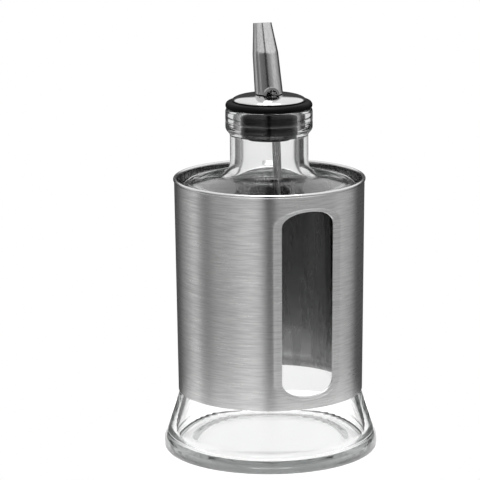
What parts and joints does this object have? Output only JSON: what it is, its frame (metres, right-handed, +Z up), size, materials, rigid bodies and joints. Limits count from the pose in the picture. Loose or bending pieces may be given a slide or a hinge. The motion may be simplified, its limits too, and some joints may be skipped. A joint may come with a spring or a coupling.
{
  "type": "glass oil bottle",
  "caption": "Glass table bottle for oil in a brushed steel sleeve with a window, closed by a rubber stopper that carries a turning steel pouring spout with a breather tube.",
  "frame": {"origin": "centre of the glass foot, on the surface the bottle stands on", "axes": "+Z up along the bottle's axis; the sleeve's window faces -Y"},
  "size_m": [0.0802, 0.0802, 0.1596],
  "materials": {
    "clear_glass": "clear, polished",
    "brushed_sleeve": "brushed round the tube",
    "black_rubber": "satin",
    "polished_disc": "polished",
    "core_steel": "drawn",
    "satin_spout": "satin",
    "tube_steel": "drawn"
  },
  "bodies": {
    "bottle": {"glass_bottle": "clear_glass"},
    "sleeve": {"steel_sleeve": "brushed_sleeve"},
    "stopper": {"rubber_stopper": "black_rubber"},
    "pourer": {"collar_disc": "polished_disc", "core_tube": "core_steel", "spout_tube": "satin_spout", "air_tube": "tube_steel"}
  },
  "joints": [
    {"name": "sleeve_lift", "type": "slide", "parent": "bottle", "child": "sleeve", "axis": [0, 0, 1], "range_m": [0, 0.14]},
    {"name": "stopper_pull", "type": "slide", "parent": "bottle", "child": "stopper", "axis": [0, 0, 1], "range_m": [0, 0.045]},
    {"name": "spout_turn", "type": "hinge", "parent": "stopper", "child": "pourer", "pos_m": [0, 0, 0.126], "axis": [0, 0, 1], "continuous": true}
  ]
}
